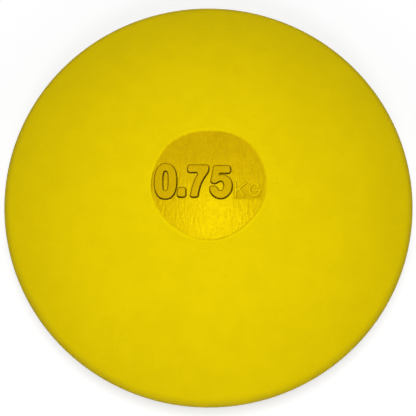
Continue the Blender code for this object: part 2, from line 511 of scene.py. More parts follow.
def ochre_rubber(finish):
    """Satin ochre rubber: rough streaked grain, dirt and painted shade in the creases, a painted
    highlight on the small letters' strokes, and yellow over its edge.
    """
    material, sketch, place = new_material("Ochre disc rubber, moulded", finish.disc)
    blotches = sketch.noise(place, size=0.006, detail=3.0)
    grain = sketch.noise(place, size=0.0011, detail=4.0, roughness=0.65)
    speckle = sketch.noise(place, size=0.0005)
    drawn = sketch.vector("MULTIPLY", place, (1.0, 0.25, 1.0))
    streaks = sketch.noise(drawn, size=0.0009, roughness=0.6)
    shades = sketch.total((blotches, 0.20), (grain, 0.30), (streaks, 0.20), (speckle, 0.30))
    light = sketch.ramp(shades, 0.40, 0.60)
    colour = sketch.mix(light, opaque(finish.disc_deep), opaque(finish.disc))

    # Painted highlight: the small letters' strokes are lightened towards the body's yellow
    stroke = sketch.times(sketch.attribute("stroke"), 0.65)
    colour = sketch.mix(stroke, colour, opaque(finish.body))
    flow = yellow_share(sketch, place)
    colour = sketch.mix(flow, colour, opaque(finish.body))
    # Dirt and painted shade in the creases, with the painted shadow below the small letters, in
    # patches
    packed = sketch.ramp(sketch.noise(place, size=0.0016), 0.25, 0.6, 0.72, 1.0)
    dirt_and_shade = sketch.math("MULTIPLY", sketch.attribute("crease"), packed, clamp=True)
    colour = sketch.mix(dirt_and_shade, colour, opaque(finish.dirt_and_shade))

    smooth, rough = finish.disc_roughness - 0.02, finish.disc_roughness + 0.05
    skin = sketch.ramp(shades, 0.36, 0.64, smooth, rough)
    matte = sketch.total((sketch.attribute("matte"), 0.13), (flow, 0.25), (dirt_and_shade, 0.35))
    return dressed(material, sketch, {
        "Base Color": colour,
        "Roughness": sketch.math("ADD", skin, matte, clamp=True),
        "Normal": sketch.bumps((grain, 0.00004, 0.35), (streaks, 0.00008, 0.50)),
        "Specular IOR Level": 0.25,
        "Specular Tint": (1.0, 0.90, 0.0, 1.0),
    })


def plate_steel(finish):
    """Hot-rolled steel, turned on its faces: fine rings, scale in clouds, and a little rust."""
    material, sketch, place = new_material("Core plate steel, turned", finish.steel)
    scale = sketch.noise(place, size=0.012, detail=4.0)
    fine = sketch.noise(place, size=0.0015, detail=3.0)
    inputs = {"Vector": place, "Scale": 420.0, "Distortion": 0.6, "Detail": 2.0}
    rings = sketch.add("ShaderNodeTexWave", inputs, wave_type="RINGS", rings_direction="Z")
    clean = sketch.ramp(scale, 0.38, 0.62)
    colour = sketch.mix(clean, opaque(finish.steel, 0.62), opaque(finish.steel))
    rust = sketch.times(sketch.ramp(scale, 0.56, 0.70), sketch.ramp(fine, 0.45, 0.65))
    return dressed(material, sketch, {
        "Base Color": sketch.mix(sketch.times(rust, 0.6), colour, opaque(RUST)),
        "Metallic": sketch.math("SUBTRACT", 1.0, rust, clamp=True),
        "Roughness": sketch.ramp(fine, 0.3, 0.7, 0.34, 0.52),
        "Normal": sketch.bumps((rings, 0.00003, 0.5), (fine, 0.00003, 0.4)),
    })


# ---------------------------------------------------------------- rubber halves

LIP_STEPS, FLAT_STEPS, FLANK_STEPS, RIM_STEPS = 8, 4, 34, 24  # along parts of the outline
SKIN_FADE_STEPS = 3  # over which the unevenness starts on the lip
RECESS_BEVEL = 0.0004  # of the recess's foot
GROOVE_ROOM = 0.00022  # between the flash and the side of its groove
FLASH_INSET = 0.00003  # of the flash's crest behind the rim
FLASH_TAPER = 0.00005  # by which the flash is thicker at its foot
FLASH_FOOT, LAND_START = 0.0012, 0.0014  # behind the flash's crest
FLASH_GAP = BOND_GAP / 20  # from the parting line to each half's flash
FLASH_SIZE = 0.004  # breadth of its rags
LAND_WIDTH = 0.005  # from the rim to the register
REGISTER_STEP = 0.0015
POCKET_CHAMFER = 0.0008
KEY_HOLE_RADIUS, COUNTERSINK = 0.0045, 0.0010
KEYS_IN_RING, KEY_RING_INSET = 6, 0.0135  # and how far inside the core plate's edge
KEY_TURN_STEPS = 32
MERGE_DISTANCE = 0.000002


def arc(centre, radius, start, end, steps):
    """Points on an arc in the (radius, height) plane, by angles from straight up outwards."""
    angles = [start + (end - start) * step / steps for step in range(steps + 1)]
    return [centre + radius * Vector((math.sin(a), math.cos(a))) for a in angles]


def half_outline(body, register_step, register_clearance):
    """Outline of a half over the mid-plane, from its recess's floor round to the core's pocket.

    Returns (radius, height, skin, flash) for each point. Skin says how far the unevenness reaches
    it, and flash whether it is on the ragged edge of the trimmed flash.
    """
    half_thickness = body.thickness / 2
    outer_radius = body.outer_diameter / 2
    disc_top = DISC_HIGH.z - MIDDLE_HEIGHT
    recess_floor = DISC_LOW.z - MIDDLE_HEIGHT - BOND_GAP

    # The flank is the arc that leaves the flat at its slope and runs on into the rim's round
    flat_edge = Vector((body.flat_diameter / 2, half_thickness))
    rim_centre = Vector((outer_radius - body.rim_radius, 0.0))
    outwards = Vector((math.sin(body.flank_slope), math.cos(body.flank_slope)))
    span = flat_edge - rim_centre
    reach = span.dot(outwards) - body.rim_radius
    flank_radius = (span.length_squared - body.rim_radius**2) / (2 * reach)
    flank_centre = flat_edge - outwards * flank_radius
    to_rim = rim_centre - flank_centre
    flank_end = math.atan2(to_rim.x, to_rim.y)

    lip_centre = Vector((body.recess_radius + body.lip_round, half_thickness - body.lip_round))
    lip = arc(lip_centre, body.lip_round, -math.pi / 2, 0.0, LIP_STEPS)
    recess = [
        (0.0, recess_floor),
        (body.recess_radius - RECESS_BEVEL, recess_floor),
        (body.recess_radius, recess_floor + RECESS_BEVEL),
        (body.recess_radius, disc_top - RECESS_BEVEL),
    ]
    flat = [lip[-1].lerp(flat_edge, step / FLAT_STEPS) for step in range(1, FLAT_STEPS + 1)]
    flank = arc(flank_centre, flank_radius, body.flank_slope, flank_end, FLANK_STEPS)[1:]

    # The rim ends in a fine groove, and the flash stands in it as a thin ridge trimmed flush
    groove_angle = math.acos((body.flash_thickness + GROOVE_ROOM) / body.rim_radius)
    rim = arc(rim_centre, body.rim_radius, flank_end, groove_angle, RIM_STEPS)[1:]
    crest = max(point.x for point in rim) - FLASH_INSET
    register_radius = outer_radius - LAND_WIDTH + register_clearance
    register_height = BOND_GAP / 2 + register_step
    pocket_radius = PLATE_HIGH.x + BOND_GAP
    pocket_height = PLATE_HIGH.z - MIDDLE_HEIGHT + BOND_GAP
    pocket_chamfer = POCKET_CHAMFER + BOND_GAP * (2 - math.sqrt(2))
    inside = [
        (crest - FLASH_FOOT, FLASH_GAP),
        (crest - LAND_START, BOND_GAP / 2),
        (register_radius, BOND_GAP / 2),
        (register_radius, register_height),
        (pocket_radius, register_height),
        (pocket_radius, pocket_height - pocket_chamfer),
        (pocket_radius - pocket_chamfer, pocket_height),
        (0.0, pocket_height),
    ]
    half_lip = LIP_STEPS // 2
    rows = [(*point, 0.0, 0.0) for point in recess + lip[:half_lip]]
    for step, point in enumerate(lip[half_lip:] + flat):
        rows.append((*point, min(1.0, step / SKIN_FADE_STEPS), 0.0))
    rows += [(*point, 1.0, 0.0) for point in flank]
    rows += [(*point, 1.0 - step / RIM_STEPS, 0.0) for step, point in enumerate(rim, start=1)]
    rows += [
        (crest - body.flash_reach, body.flash_thickness + FLASH_TAPER, 0.0, 0.0),
        (crest, body.flash_thickness, 0.0, 1.0),
        (crest, FLASH_GAP, 0.0, 1.0),
    ]
    return rows + [(*point, 0.0, 0.0) for point in inside]


def key_outline(register_step):
    """Outline of a rubber key, from inside the half down to the joint with the other's key."""
    radius = KEY_HOLE_RADIUS - BOND_GAP
    half_plate = PLATE_HIGH.z - MIDDLE_HEIGHT
    waist = half_plate - COUNTERSINK + BOND_GAP * (math.sqrt(2) - 1)
    top = half_plate + COUNTERSINK
    bottom = BOND_GAP / 2 + register_step
    sides = [(radius + top - waist, top)]
    if bottom < waist:
        sides += [(radius, waist), (radius, bottom)]
    else:
        sides += [(radius + bottom - waist, bottom)]
    return [(*point, 0.0, 0.0) for point in [(0.0, top)] + sides + [(0.0, bottom)]]


def wire_mesh(name, points):
    """The outlines as loose points in the XZ plane, with their skin and flash as attributes."""
    mesh = bpy.data.meshes.new(name)
    mesh.from_pydata([(radius, 0.0, height) for radius, height, _, _ in points], [], [])
    set_attributes(mesh, skin=[point[2] for point in points], flash=[point[3] for point in points])
    return mesh


def set_attributes(mesh, **columns):
    for label, values in columns.items():
        mesh.attributes.new(label, "FLOAT", "POINT").data.foreach_set("value", values)


def turned_outline_group():
    """A Geometry Nodes group that turns a run of an outline's points about Z to a closed skin."""
    sketch, given = new_geometry_group(
        "Turned outline", Int=("First point", "Points", "Turn steps")
    )
    columns = sketch.plus(given["Turn steps"], 1.0)
    skin = sketch.add("GeometryNodeMeshGrid", {
        "Size X": 1.0, "Size Y": 1.0, "Vertices X": given["Points"], "Vertices Y": columns
    })
    place = sketch.add("GeometryNodeInputPosition")
    across, along, _ = sketch.add("ShaderNodeSeparateXYZ", {"Vector": place}).outputs
    row = sketch.times(sketch.plus(across, 0.5), sketch.minus(given["Points"], 1.0))
    row = sketch.plus(sketch.math("ROUND", row), given["First point"])
    turn = sketch.times(sketch.plus(along, 0.5), math.tau)

    def sampled(value, kind):
        inputs = {"Geometry": given["Geometry"], "Value": value, "Index": row}
        return sketch.add("GeometryNodeSampleIndex", inputs, data_type=kind)

    for label in ("skin", "flash"):
        weight = sampled(sketch.stored(label), "FLOAT")
        inputs = {"Geometry": skin, "Name": label, "Value": weight}
        skin = sketch.add("GeometryNodeStoreNamedAttribute", inputs, data_type="FLOAT")
    inputs = {"Vector": sampled(place, "FLOAT_VECTOR"), "Angle": turn}
    turned = sketch.add("ShaderNodeVectorRotate", inputs, rotation_type="Z_AXIS")
    skin = sketch.add("GeometryNodeSetPosition", {"Geometry": skin, "Position": turned})
    inputs = {"Geometry": skin, "Distance": MERGE_DISTANCE}
    skin = sketch.add("GeometryNodeMergeByDistance", inputs)
    sketch.add("NodeGroupOutput", {"Geometry": skin})
    sketch.lay_out()
    return sketch.tree


def rubber_half_group():
    """A Geometry Nodes group that makes a rubber half from its outline and its key's outline."""
    turned_outline = turned_outline_group()
    sketch, given = new_geometry_group(
        "Rubber half",
        Int=("Outline points", "Key points", "Turn steps", "Key turn steps", "Keys in ring"),
        Float=(
            "Key ring radius", "Turned over", "Middle height", "Unevenness", "Unevenness size",
            "Flash depth", "Flash size", "Seed",
        ),
        Material=("Material",),
    )

    def turned(*run):
        node = sketch.add("GeometryNodeGroup", node_tree=turned_outline)
        return sketch.fill(node, (given["Geometry"], *run))

    def placed(geometry):
        turn = sketch.add("ShaderNodeCombineXYZ", {"X": given["Turned over"]})
        lift = sketch.add("ShaderNodeCombineXYZ", {"Z": given["Middle height"]})
        inputs = {"Geometry": geometry, "Rotation": turn, "Translation": lift}
        return sketch.add("GeometryNodeTransform", inputs)

    def moved(geometry, direction, *distances):
        """The geometry, moved against the direction by the product of the distances."""
        offset = sketch.vector("SCALE", direction, sketch.times(*distances, -1.0))
        return sketch.add("GeometryNodeSetPosition", {"Geometry": geometry, "Offset": offset})

    half = placed(turned(0, given["Outline points"], given["Turn steps"]))
    place = sketch.add("GeometryNodeInputPosition")

    # The skin sinks in places, by up to the unevenness
    inputs = {
        "Vector": sketch.vector("DIVIDE", place, given["Unevenness size"]),
        "W": given["Seed"], "Scale": 1.0, "Detail": 2.0,
    }
    sinks = sketch.add("ShaderNodeTexNoise", inputs, noise_dimensions="4D")
    normal = sketch.add("GeometryNodeInputNormal")
    half = moved(half, normal, sinks, sketch.stored("skin"), given["Unevenness"])

    # The flash's edge is ragged. The same noise falls on both halves, because only X and Y count
    level = sketch.level(place)
    inputs = {
        "Vector": sketch.vector("DIVIDE", level, given["Flash size"]),
        "Scale": 1.0, "Detail": 3.0, "Roughness": 0.7,
    }
    rags = sketch.ramp(sketch.add("ShaderNodeTexNoise", inputs), 0.40, 0.62)
    outwards = sketch.vector("NORMALIZE", level)
    half = moved(half, outwards, rags, sketch.stored("flash"), given["Flash depth"])

    # One key in the middle and a ring of them
    key = turned(given["Outline points"], given["Key points"], given["Key turn steps"])
    inputs = {"Vertices": given["Keys in ring"], "Radius": given["Key ring radius"]}
    places = sketch.add("GeometryNodeJoinGeometry")
    sketch.plug(places.inputs["Geometry"], sketch.add("GeometryNodeMeshCircle", inputs))
    sketch.plug(places.inputs["Geometry"], sketch.add("GeometryNodePoints", {"Count": 1}))
    keys = sketch.add("GeometryNodeInstanceOnPoints", {"Points": places, "Instance": key})
    keys = placed(sketch.add("GeometryNodeRealizeInstances", {"Geometry": keys}))

    solid = sketch.add("GeometryNodeMeshBoolean", operation="UNION", solver="EXACT")
    sketch.plug(solid.inputs["Mesh 2"], half)
    sketch.plug(solid.inputs["Mesh 2"], keys)
    solid = sketch.add("GeometryNodeRealizeInstances", {"Geometry": solid})
    inputs = {"Geometry": solid, "Material": given["Material"]}
    sketch.add("NodeGroupOutput", {"Geometry": sketch.add("GeometryNodeSetMaterial", inputs)})
    sketch.lay_out()
    return sketch.tree


class DISCUS_OT_rubber_halves(bpy.types.Operator):
    """Makes both rubber halves, with their recess, pocket, keys and trimmed flash"""

    bl_idname = "discus.rubber_halves"
    bl_label = "Rubber halves"

    def execute(self, context):
        body = context.scene.discus_body
        rubber = yellow_rubber(context.scene.discus_finish)
        group = rubber_half_group()
        for node, turn, step, clearance, seed in (
            ("upper_rubber_half", 0.0, REGISTER_STEP, BOND_GAP, 3.0),
            ("lower_rubber_half", TURNED_OVER, -REGISTER_STEP, 0.0, 11.0),
        ):
            outline = half_outline(body, step, clearance)
            key = key_outline(step)
            half = new_object(node + "_moulded", wire_mesh(node + "_outline", outline + key))
            modifier = half.modifiers.new("Rubber half", "NODES")
            modifier.node_group = group
            set_inputs(modifier, {
                "Outline points": len(outline),
                "Key points": len(key),
                "Turn steps": body.turn_steps,
                "Key turn steps": KEY_TURN_STEPS,
                "Keys in ring": KEYS_IN_RING,
                "Key ring radius": PLATE_HIGH.x - KEY_RING_INSET,
                "Turned over": turn,
                "Middle height": MIDDLE_HEIGHT,
                "Unevenness": body.unevenness,
                "Unevenness size": body.unevenness_size,
                "Flash depth": body.flash_reach,
                "Flash size": FLASH_SIZE,
                "Seed": seed,
                "Material": rubber,
            })
            settle(half)
            finish_piece(half, node)
        return {"FINISHED"}


# ---------------------------------------------------------------- centre discs

# Corners of the numerals' outlines, in mm from the middle of the disc: x, y and the corner's
# round. They run counter-clockwise. A round that its sides have no room for takes what there is.
FULL = 99.0
SEVEN = [
    (0.14, 7.40, 0.95), (-7.96, 7.40, 0.95), (-7.96, 4.48, 0.95), (-3.72, 4.48, 0.60),
    (-5.10, 1.90, FULL), (-6.15, -1.20, FULL), (-6.90, -4.90, 0.95), (-6.15, -5.14, 0.80),
    (-4.00, -5.14, 0.85), (-3.78, -2.90, FULL), (-2.95, 0.10, FULL), (-1.45, 2.80, FULL),
    (0.02, 4.90, FULL),
]
FIVE = [
    (8.36, 7.17, 0.95), (1.98, 7.17, 0.75), (0.80, 0.62, 0.80), (2.55, 0.00, FULL),
    (3.75, 0.90, FULL), (5.25, 1.30, FULL), (6.05, -0.75, FULL), (5.10, -2.85, FULL),
    (3.75, -2.45, FULL), (2.95, -0.85, FULL), (0.40, -0.95, 0.80), (0.55, -3.10, FULL),
    (2.35, -5.25, FULL), (5.60, -5.95, FULL), (8.35, -3.60, FULL), (9.15, -0.60, FULL),
    (8.25, 2.35, FULL), (5.60, 3.75, FULL), (3.90, 3.20, 0.45), (4.00, 4.22, 0.55),
    (8.36, 4.22, 0.95),
]
POINT = [(-8.62, -1.46, 0.95), (-11.80, -1.46, 0.95), (-11.80, -5.14, 0.95), (-8.62, -5.14, 0.95)]
# Middle, half sizes and fullness of the zero's outer and inner ovals
ZERO_OUTER = ((-16.30, 0.95), (4.20, 6.88), 2.35)
ZERO_INNER = ((-16.35, 1.08), (1.08, 3.92), 2.9)

# Strokes of the small letters, and the middle and half sizes of their plate
LETTER_BOW = [
    (17.50 + 2.00 * math.cos(math.radians(angle)), -2.28 + 2.33 * math.sin(math.radians(angle)))
    for angle in range(38, 332, 12)
]
LETTER_STROKES = [
    [(10.25, 0.45), (10.25, -4.95)],
    [(14.20, 0.45), (10.60, -2.45)],
    [(11.55, -1.75), (13.20, -4.70)],
    LETTER_BOW + [(19.45, -2.45), (17.90, -2.45)],
]
PLATE_MIDDLE, PLATE_HALF_SIZE = (14.80, -2.62), (5.45, 3.30)
PLATE_TOP_FADE = (-0.6, 4.5)  # how far down the disc the plate comes out of the skin
PLATE_EDGE = 0.12  # half the breadth of the slope round the plate
PLATE_MARGIN = 0.4  # round the plate, where the points of the skin are close together too
LETTER_WIDTH, LETTER_EDGE = 0.62, 0.14  # of a stroke, and half of the slope on its sides
LETTER_SHADOW_SHIFT = (-0.28, 0.24)  # from the painted shadow beside a stroke back to the stroke
LETTER_SHADOW = 0.45  # how dark that painted shadow is

OUTLINE_PITCH = 0.24  # between points along a numeral's outline
SKIN_PITCH = 0.50  # between points of the disc's open skin
LETTER_PITCH = 0.17  # between points round the small letters
BAND_ROOM = 0.2  # between an outline's bands and the points of the open skin
EDGE_STEPS, CORNER_STEPS, OVAL_STEPS = 240, 24, 720
SIDE_SHARE = 0.498  # of a side that a corner's round may take
CREASE_SHARE = 0.45  # of the way to the next numeral that a groove may take
UPPER_LEFT = (-0.34, 0.94)  # the side of a numeral where its groove is narrow and its dirt and painted shade lightest
TOP_INSET, WALL_INSET = 0.45, 0.18  # of a numeral's top face and of its wall's upper edge
DIRT_AND_SHADE_INSET = 0.12  # where the dirt and painted shade on the wall start
TOP_SHARE, WALL_SHARE, DIRT_AND_SHADE_SHARE = 0.94, 0.90, 0.72  # of the relief, at those three
CROWN_SHARE, CROWN_FROM_EDGE = 0.06, 1.3  # of the relief, and where the top face has it all
FOOT_SHARE = 0.8  # of the groove's depth, at the numeral's foot
SKIN_LEVEL = 0.33  # of the skin's middle over the packed disc's upper face
EDGE_LEVEL = 0.46  # of the skin's edge, where it lies on the recess's lip
EDGE_CLEARANCE = 0.01  # between the disc's edge and the lip
HIGHEST = 0.49  # that anything on the disc may stand over the packed disc's upper face
SIDE_TOP = -0.9  # height where the disc's side turns straight
LOWER_BEVEL = 0.5  # of the disc's lower edge
RIPPLE_SIZE, RIPPLE_FADE = 2.6, 2.0  # of the skin's unevenness, which fades to the edge
SEAM_DEPTH = 0.05  # of the line where the ochre ends, where that line is open
SEAM_PROFILE = ((-0.30, 0.0), (-0.12, 0.7), (0.0, 1.0), (0.12, 0.7), (0.30, 0.0))
# Middle and half breadth in degrees of the open stretches of that line, and how open they are
SEAM_STRETCHES = ((-52, 55, 0.20), (179, 17, 0.70), (-128, 20, 0.10))


def rounded(corners, pitch):
    """A closed outline through straight sides and round corners, as evenly spaced points."""
    points = []
    count = len(corners)
    for index, (x, y, radius) in enumerate(corners):
        here = np.array((x, y))
        before = np.array(corners[index - 1][:2]) - here
        after = np.array(corners[(index + 1) % count][:2]) - here
        room = SIDE_SHARE * min(np.linalg.norm(before), np.linalg.norm(after))
        before, after = before / np.linalg.norm(before), after / np.linalg.norm(after)
        half_angle = math.acos(np.clip(before @ after, -1, 1)) / 2
        tangent = min(radius / math.tan(half_angle), room)
        radius = tangent * math.tan(half_angle)
        inwards = (before + after) / np.linalg.norm(before + after)
        middle = here + inwards * radius / math.sin(half_angle)
        start, end = here + before * tangent - middle, here + after * tangent - middle
        first = math.atan2(start[1], start[0])
        swing = (math.atan2(end[1], end[0]) - first + math.pi) % math.tau - math.pi
        angles = first + swing * np.linspace(0, 1, CORNER_STEPS)
        points.append(middle + radius * np.column_stack((np.cos(angles), np.sin(angles))))
    return evenly_spaced(np.vstack(points), pitch)


def oval(middle, half_size, fullness, pitch, inner=False):
    """A superellipse. An inner one runs clockwise, so that its outward side is the hole."""
    turn = np.linspace(0, math.tau, OVAL_STEPS + 1)[:-1]
    if inner:
        turn = -turn
    cosine, sine = np.cos(turn), np.sin(turn)
    reach = (np.abs(cosine) ** fullness + np.abs(sine) ** fullness) ** (-1 / fullness)
    points = np.column_stack((cosine * half_size[0], sine * half_size[1])) * reach[:, None]
    return evenly_spaced(points + middle, pitch)


def evenly_spaced(points, pitch):
    closed = np.vstack((points, points[:1]))
    steps = np.linalg.norm(np.diff(closed, axis=0), axis=1)
    along = np.concatenate(([0.0], np.cumsum(steps)))
    count = max(12, round(along[-1] / pitch))
    wanted = np.arange(count) * along[-1] / count
    return np.column_stack([np.interp(wanted, along, closed[:, axis]) for axis in (0, 1)])


def outward(points):
    """Unit normals of a closed outline, pointing out of the numeral."""
    run = np.roll(points, -1, axis=0) - np.roll(points, 1, axis=0)
    normals = np.column_stack((run[:, 1], -run[:, 0]))
    return normals / np.linalg.norm(normals, axis=1, keepdims=True)


def smoothed(values, rounds):
    for _ in range(rounds):
        values = (np.roll(values, 1) + 2 * values + np.roll(values, -1)) / 4
    return values


def distance_to(points, lines, closed=True):
    """From each point to the nearest of the lines."""
    nearest = np.full(len(points), np.inf)
    for line in lines:
        ends = np.roll(line, -1, axis=0) if closed else line[1:]
        for start, end in zip(line, ends):
            run = end - start
            share = np.clip((points - start) @ run / (run @ run), 0, 1)
            away = np.linalg.norm(points - start - share[:, None] * run, axis=1)
            nearest = np.minimum(nearest, away)
    return nearest


def is_inside(points, lines):
    """Whether each point lies inside an odd number of the closed lines."""
    inside = np.zeros(len(points), bool)
    for line in lines:
        for start, end in zip(line, np.roll(line, -1, axis=0)):
            between = (start[1] > points[:, 1]) != (end[1] > points[:, 1])
            if between.any():
                slope = (end[0] - start[0]) / (end[1] - start[1])
                crossing = start[0] + (points[:, 1] - start[1]) * slope
                inside ^= between & (points[:, 0] < crossing)
    return inside


def smooth_step(low, high, value):
    share = np.clip((value - low) / (high - low), 0, 1)
    return share * share * (3 - 2 * share)


def lattice(half_width, half_height, pitch, middle=(0.0, 0.0)):
    """Points in staggered rows."""
    rows = np.arange(-half_height, half_height, pitch * math.sqrt(3) / 2)
    columns = np.arange(-half_width, half_width, pitch)
    grid = [(x + (row % 2) * pitch / 2, y) for row, y in enumerate(rows) for x in columns]
    return np.array(grid) + middle


def flow_radius(angles):
    """How far out the ochre reaches, in mm, by the angle round the disc."""
    waves = (reach * np.cos(count * angles - turn) for count, reach, turn in FLOW_WAVES)
    return FLOW_RADIUS + sum(waves)


def seam_share(angles):
    """How open the line is where the ochre ends, by the angle round the disc."""
    share = 0
    for middle, reach, most in SEAM_STRETCHES:
        away = np.abs((angles - math.radians(middle) + math.pi) % math.tau - math.pi)
        here = most * (1 - smooth_step(0.5, 1.0, away / math.radians(reach)))
        share = np.maximum(share, here)
    return share * np.clip(0.8 + 0.3 * np.sin(23 * angles) * np.sin(37 * angles + 1), 0, 1)


def facing_below(normals):
    """From 0, for an edge that looks up the disc, to 1, for one that looks down or right."""
    return smooth_step(0.15, 0.85, 0.5 - 0.5 * (normals @ UPPER_LEFT))


def crease_widths(line, below, others, markings):
    """Width of the groove at each point of an outline, in mm: wide below, narrow above."""
    narrow, wide = markings.crease_narrow / MM, markings.crease_wide / MM
    widths = narrow + (wide - narrow) * below
    if others:
        widths = np.minimum(widths, CREASE_SHARE * distance_to(line, others))
    return smoothed(widths, 4)


def disc_edge(radius, thickness, lip_round):
    """Radius and height of the rings down a disc's edge, from the lip to its underside."""
    side = radius + BOND_GAP / MM - EDGE_CLEARANCE
    reach = lip_round + EDGE_CLEARANCE
    angles = np.linspace(math.asin(EDGE_LEVEL / reach), 0, 4)
    rings = [(side + reach * (1 - math.cos(a)), reach * math.sin(a)) for a in angles]
    rings += [(side, SIDE_TOP), (side, LOWER_BEVEL - thickness)]
    return rings + [(r, -thickness) for r in (side - LOWER_BEVEL, 0.6 * side, 0.2 * side)]


def ring_of_points(radii):
    turn = np.arange(EDGE_STEPS) * math.tau / EDGE_STEPS
    return np.column_stack((radii * np.cos(turn), radii * np.sin(turn)))


class DiscSkin:
    """Points of a disc's upper skin, in mm, each with its height, its dirt and painted shade, and
    how matte it is.
    """

    def __init__(self):
        self.places, self.values, self.edges = [], [], []

    def add(self, places, height=0.0, crease=0.0, matte=0.0, closed=False):
        first = sum(len(part) for part in self.places)
        count = len(places)
        columns = [np.broadcast_to(value, count) for value in (height, crease, matte)]
        self.places.append(places)
        self.values.append(np.column_stack(columns))
        if closed:
            self.edges += [(first + step, first + (step + 1) % count) for step in range(count)]

    def triangulated(self):
        """Places, values and faces in the outermost edges, and where each first point went."""
        places = [Vector(place) for part in self.places for place in part]
        verts, _, faces, sources, _, _ = delaunay_2d_cdt(places, self.edges, [], 1, 1e-5)
        source = np.array([found[0] if found else -1 for found in sources])
        values = np.where(source[:, None] >= 0, np.vstack(self.values)[source], 0.0)
        went = {first: index for index, found in enumerate(sources) for first in found}
        places = np.array([tuple(vert) for vert in verts])
        return places, values.T, [tuple(face) for face in faces], went


def add_numeral(skin, line, others, markings):
    """Bands along a numeral's outline: top face, wall, foot with dirt and painted shade, groove
    and outer edge.
    """
    relief, depth = markings.relief / MM, markings.crease_depth / MM
    normals = outward(line)
    below = facing_below(normals)
    widths = crease_widths(line, below, others, markings)
    # Dirt and painted shade, darker on edges that look down or right, where shade falls
    dirt_and_shade = 0.64 + 0.36 * below
    for offset, height, crease, matte in (
        (-TOP_INSET, relief * TOP_SHARE, 0.0, 1.0),
        (-WALL_INSET, relief * WALL_SHARE, 0.0, 1.0),
        (-DIRT_AND_SHADE_INSET, relief * DIRT_AND_SHADE_SHARE, 0.8 * dirt_and_shade, 1.0),
        (0.0, -depth * FOOT_SHARE, dirt_and_shade, 1.0),
        (np.maximum(widths - 0.08, 0.06), -depth, dirt_and_shade, 1.0),
        (widths + 0.02, 0.0, 0.0, 0.0),
    ):
        around = line + normals * np.broadcast_to(offset, len(line))[:, None]
        skin.add(around, height, crease, matte, closed=True)


def add_seam(skin):
    """Bands of points along the line where the ochre ends."""
    turn = np.arange(EDGE_STEPS) * math.tau / EDGE_STEPS
    share = seam_share(turn)
    for offset, depth in SEAM_PROFILE:
        ring = ring_of_points(flow_radius(turn) + offset)
        # The open stretches sink a little and carry dirt and painted shade, through the crease
        # value
        skin.add(ring, -SEAM_DEPTH * depth * share, depth * share)


def add_open_skin(skin, lines, markings):
    """Points clear of the outlines' bands, and closer together round the small letters."""
    margin = np.array(PLATE_HALF_SIZE) + PLATE_MARGIN
    fine = lattice(*margin, LETTER_PITCH, PLATE_MIDDLE)
    coarse = lattice(FLOW_RADIUS, FLOW_RADIUS, SKIN_PITCH)
    near_letters = (np.abs(coarse - PLATE_MIDDLE) < margin + LETTER_PITCH).all(axis=1)
    points = np.vstack((fine, coarse[~near_letters]))
    reach, angle = np.linalg.norm(points, axis=1), np.arctan2(points[:, 1], points[:, 0])
    points = points[reach < flow_radius(angle) - 0.5]
    inside, away = is_inside(points, lines), distance_to(points, lines)
    clear = away > np.where(inside, TOP_INSET, markings.crease_wide / MM) + BAND_ROOM
    points, inside, away = points[clear], inside[clear], away[clear]
    crown = TOP_SHARE + CROWN_SHARE * smooth_step(TOP_INSET, CROWN_FROM_EDGE, away)
    skin.add(points, np.where(inside, markings.relief / MM * crown, 0.0), matte=inside)


def letter_relief(places):
    """Shares of the small letters' plate, of their strokes, and of the painted shadow below those.
    """
    from_plate = (np.abs(places - PLATE_MIDDLE) - np.array(PLATE_HALF_SIZE)).max(axis=1)
    plate = 1 - smooth_step(-PLATE_EDGE, PLATE_EDGE, from_plate)
    near = from_plate < 1.0
    lines = [np.array(stroke) for stroke in LETTER_STROKES]
    low, high = LETTER_WIDTH / 2 - LETTER_EDGE, LETTER_WIDTH / 2 + LETTER_EDGE
    # above holds the painted shadow that lies below and right of each stroke
    strokes, above = np.zeros(len(places)), np.zeros(len(places))
    for shares, shift in ((strokes, (0.0, 0.0)), (above, LETTER_SHADOW_SHIFT)):
        from_stroke = distance_to(places[near] + shift, lines, closed=False)
        shares[near] = 1 - smooth_step(low, high, from_stroke)
    return np.array((plate, plate * strokes, plate * np.clip(above - strokes, 0, 1)))


